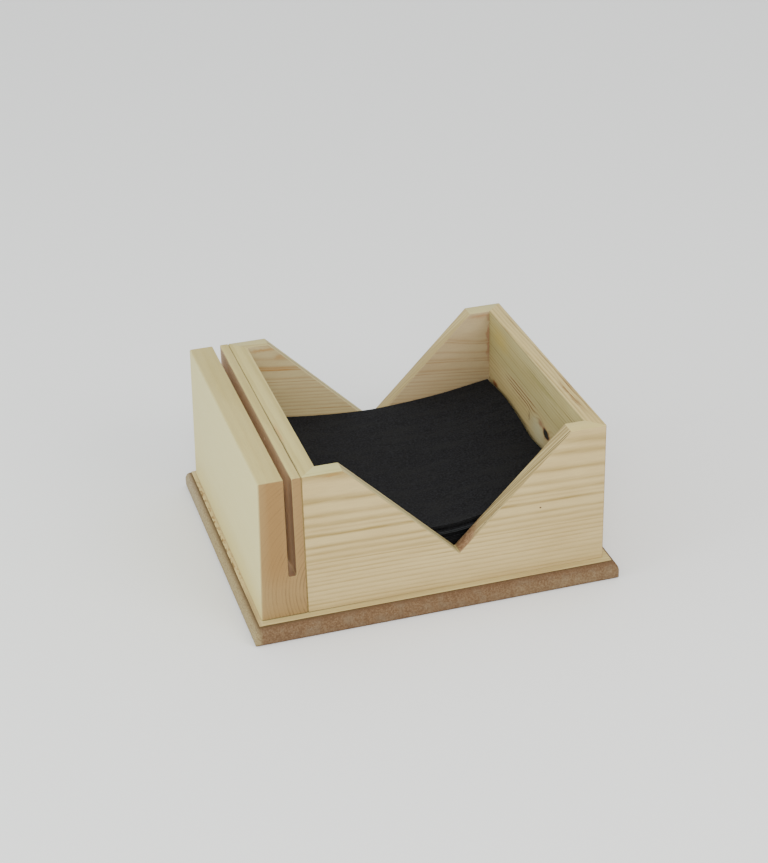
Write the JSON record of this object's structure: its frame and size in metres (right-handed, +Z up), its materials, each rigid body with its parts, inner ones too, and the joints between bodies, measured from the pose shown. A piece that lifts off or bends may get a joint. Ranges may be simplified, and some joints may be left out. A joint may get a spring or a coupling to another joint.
{
  "type": "napkin holder",
  "caption": "Square pine napkin box with V notched front and rear walls, a slotted card block on its left side and a moulded base board, holding a pile of folded napkins.",
  "frame": {"origin": "middle of the underside of the base board, on the surface that the holder stands on", "axes": "+Z up, -Y the front with a V notch, +X to the right seen from the front, the card block at -X"},
  "size_m": [0.235, 0.208, 0.106],
  "materials": {
    "pine": "planed and sanded, unfinished pine, grain along each wall",
    "pine_block": "sawn and sanded, unfinished pine, end grain at the front and rear",
    "veneer": "pale unfinished wood veneer",
    "fibreboard": "raw medium density fibreboard with a routed edge, matt",
    "zinc": "bright zinc plated countersunk screw",
    "black_tissue": "matt black tissue paper with a fine embossed grain"
  },
  "bodies": {
    "holder": {"base_board": "fibreboard", "base_veneer": "veneer", "front_wall": "pine", "rear_wall": "pine", "left_wall": "pine", "right_wall": "pine", "card_block": "pine_block", "base_screws": "zinc"},
    "napkin_stack": {"napkin_01": "black_tissue", "napkin_02": "black_tissue", "napkin_03": "black_tissue", "napkin_04": "black_tissue", "napkin_05": "black_tissue", "napkin_06": "black_tissue", "napkin_07": "black_tissue", "napkin_08": "black_tissue", "napkin_09": "black_tissue", "napkin_10": "black_tissue", "napkin_11": "black_tissue", "napkin_12": "black_tissue", "napkin_13": "black_tissue", "napkin_14": "black_tissue", "napkin_15": "black_tissue", "napkin_16": "black_tissue", "napkin_17": "black_tissue"},
    "top_napkin": {"napkin_18": "black_tissue"}
  },
  "joints": [
    {"name": "stack_lift", "type": "slide", "parent": "holder", "child": "napkin_stack", "axis": [0, 0, 1], "range_m": [0, 0.1]},
    {"name": "top_napkin_lift", "type": "slide", "parent": "napkin_stack", "child": "top_napkin", "axis": [0, 0, 1], "range_m": [0, 0.07]}
  ]
}
